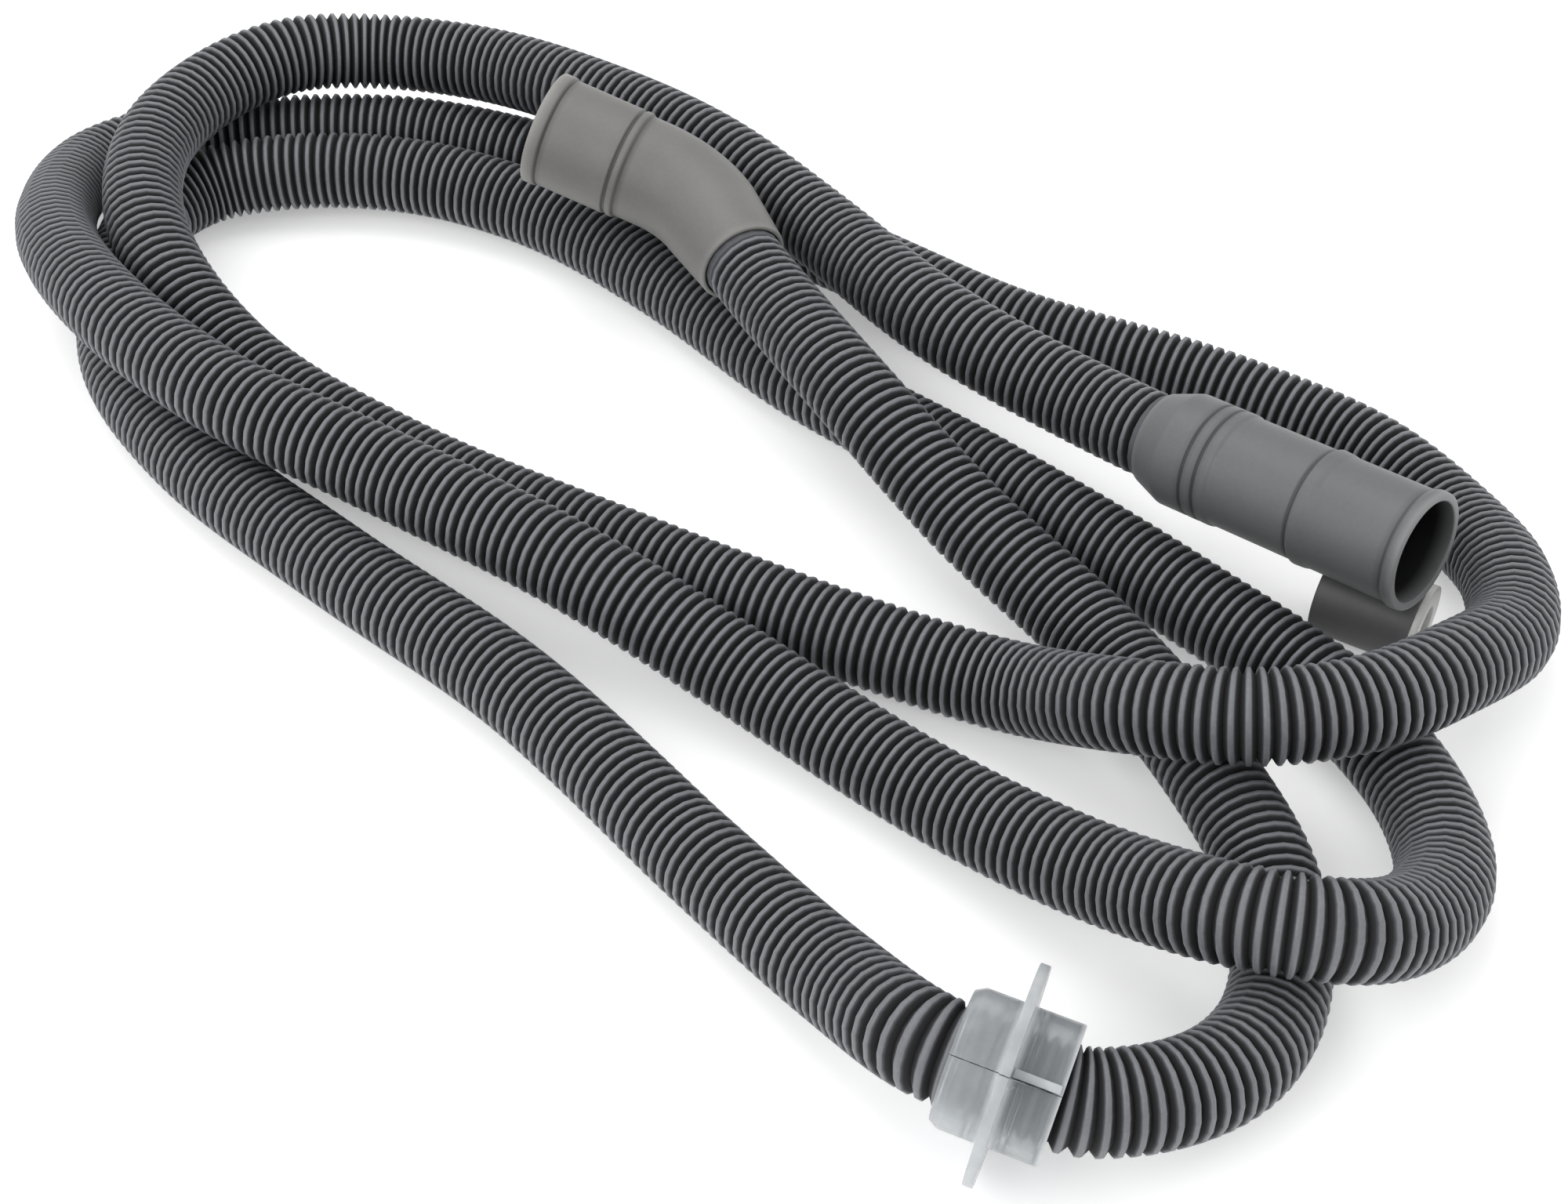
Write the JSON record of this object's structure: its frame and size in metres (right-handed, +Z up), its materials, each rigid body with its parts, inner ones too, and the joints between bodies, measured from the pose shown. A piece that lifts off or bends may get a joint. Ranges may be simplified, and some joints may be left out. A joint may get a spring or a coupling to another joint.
{
  "type": "drain hose",
  "caption": "Ribbed grey hose in loose loops, with an elbow cuff and a straight cuff, a split wall bush clipped round it and a short lined adapter.",
  "frame": {"origin": "centre of the bounding box in plan, on the surface the hose lies on", "axes": "+Z up, +X to the viewer's right along the loops, +Y away from the viewer"},
  "size_m": [0.4648, 0.4562, 0.076],
  "materials": {
    "hose_plastic": "satin ribs",
    "elbow_rubber": "satin",
    "cuff_rubber": "satin",
    "clear_plastic": "translucent, moulded",
    "sleeve_rubber": "matt"
  },
  "bodies": {
    "hose_assembly": {"hose": "hose_plastic", "elbow_cuff": "elbow_rubber", "straight_cuff": "cuff_rubber"},
    "bush_lower": {"bush_half_lower": "clear_plastic"},
    "bush_upper": {"bush_half_upper": "clear_plastic"},
    "adapter": {"adapter_sleeve": "sleeve_rubber", "adapter_liner": "clear_plastic"}
  },
  "joints": [
    {"name": "bush_turn", "type": "hinge", "parent": "hose_assembly", "child": "bush_lower", "pos_m": [0.069, -0.203, 0.027], "axis": [0.9297, -0.3494, -0.1167], "continuous": true},
    {"name": "bush_open", "type": "hinge", "parent": "bush_lower", "child": "bush_upper", "pos_m": [0.07213, -0.18708, 0.0043], "axis": [-0.9297, 0.3494, 0.1167], "range_deg": [0, 60]},
    {"name": "adapter_slide", "type": "slide", "parent": "hose_assembly", "child": "adapter", "axis": [0.8643, -0.503, 0], "range_m": [0, 0.006]}
  ]
}
